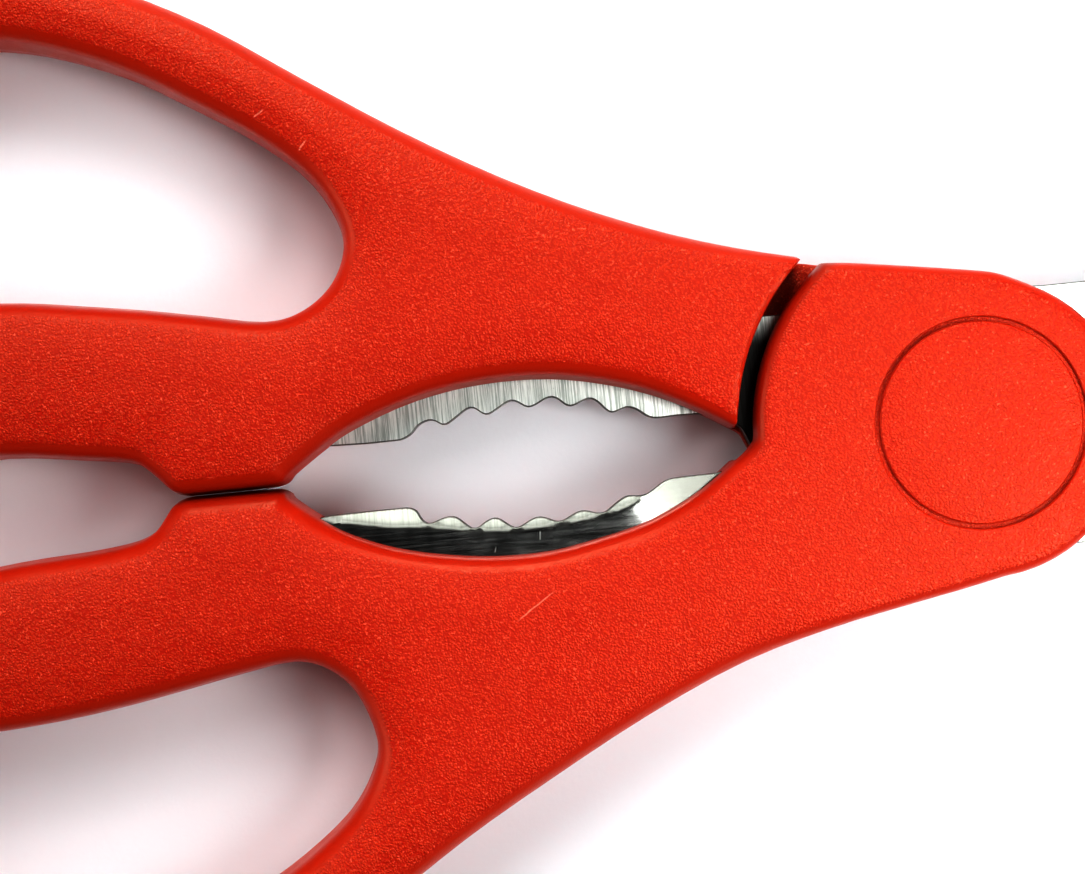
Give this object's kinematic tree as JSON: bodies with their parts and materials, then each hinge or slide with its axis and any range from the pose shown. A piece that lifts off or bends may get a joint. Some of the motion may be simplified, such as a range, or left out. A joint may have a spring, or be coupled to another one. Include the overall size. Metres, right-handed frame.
{
  "type": "poultry shears",
  "caption": "Kitchen and poultry shears with closed finger loops, a covered pivot and toothed gripping jaws between the handles.",
  "frame": {"origin": "pivot axis at the back face that the closed shears rest on", "axes": "+X along the blades to their tips, +Y towards the back half's finger loop, +Z out of the front face along the pivot axis"},
  "size_m": [0.2083, 0.1086, 0.012],
  "materials": {
    "red_plastic": "satin, finely grained orange-red moulding",
    "blade_steel": "ground and brushed stainless steel",
    "fastener_steel": "plain turned steel",
    "nylon": "natural nylon"
  },
  "bodies": {
    "front_half": {"front_handle": "red_plastic", "front_blade": "blade_steel", "front_pivot_cap": "red_plastic", "pivot_screw": "fastener_steel", "pivot_nut": "fastener_steel", "front_washer": "fastener_steel", "friction_washer": "nylon"},
    "back_half": {"back_handle": "red_plastic", "back_blade": "blade_steel", "back_pivot_cap": "red_plastic", "back_washer": "fastener_steel", "spring_washer": "fastener_steel"}
  },
  "joints": [
    {"name": "blade_pivot", "type": "hinge", "parent": "front_half", "child": "back_half", "pos_m": [0, 0, 0], "axis": [0, 0, -1], "range_deg": [0, 60]}
  ]
}
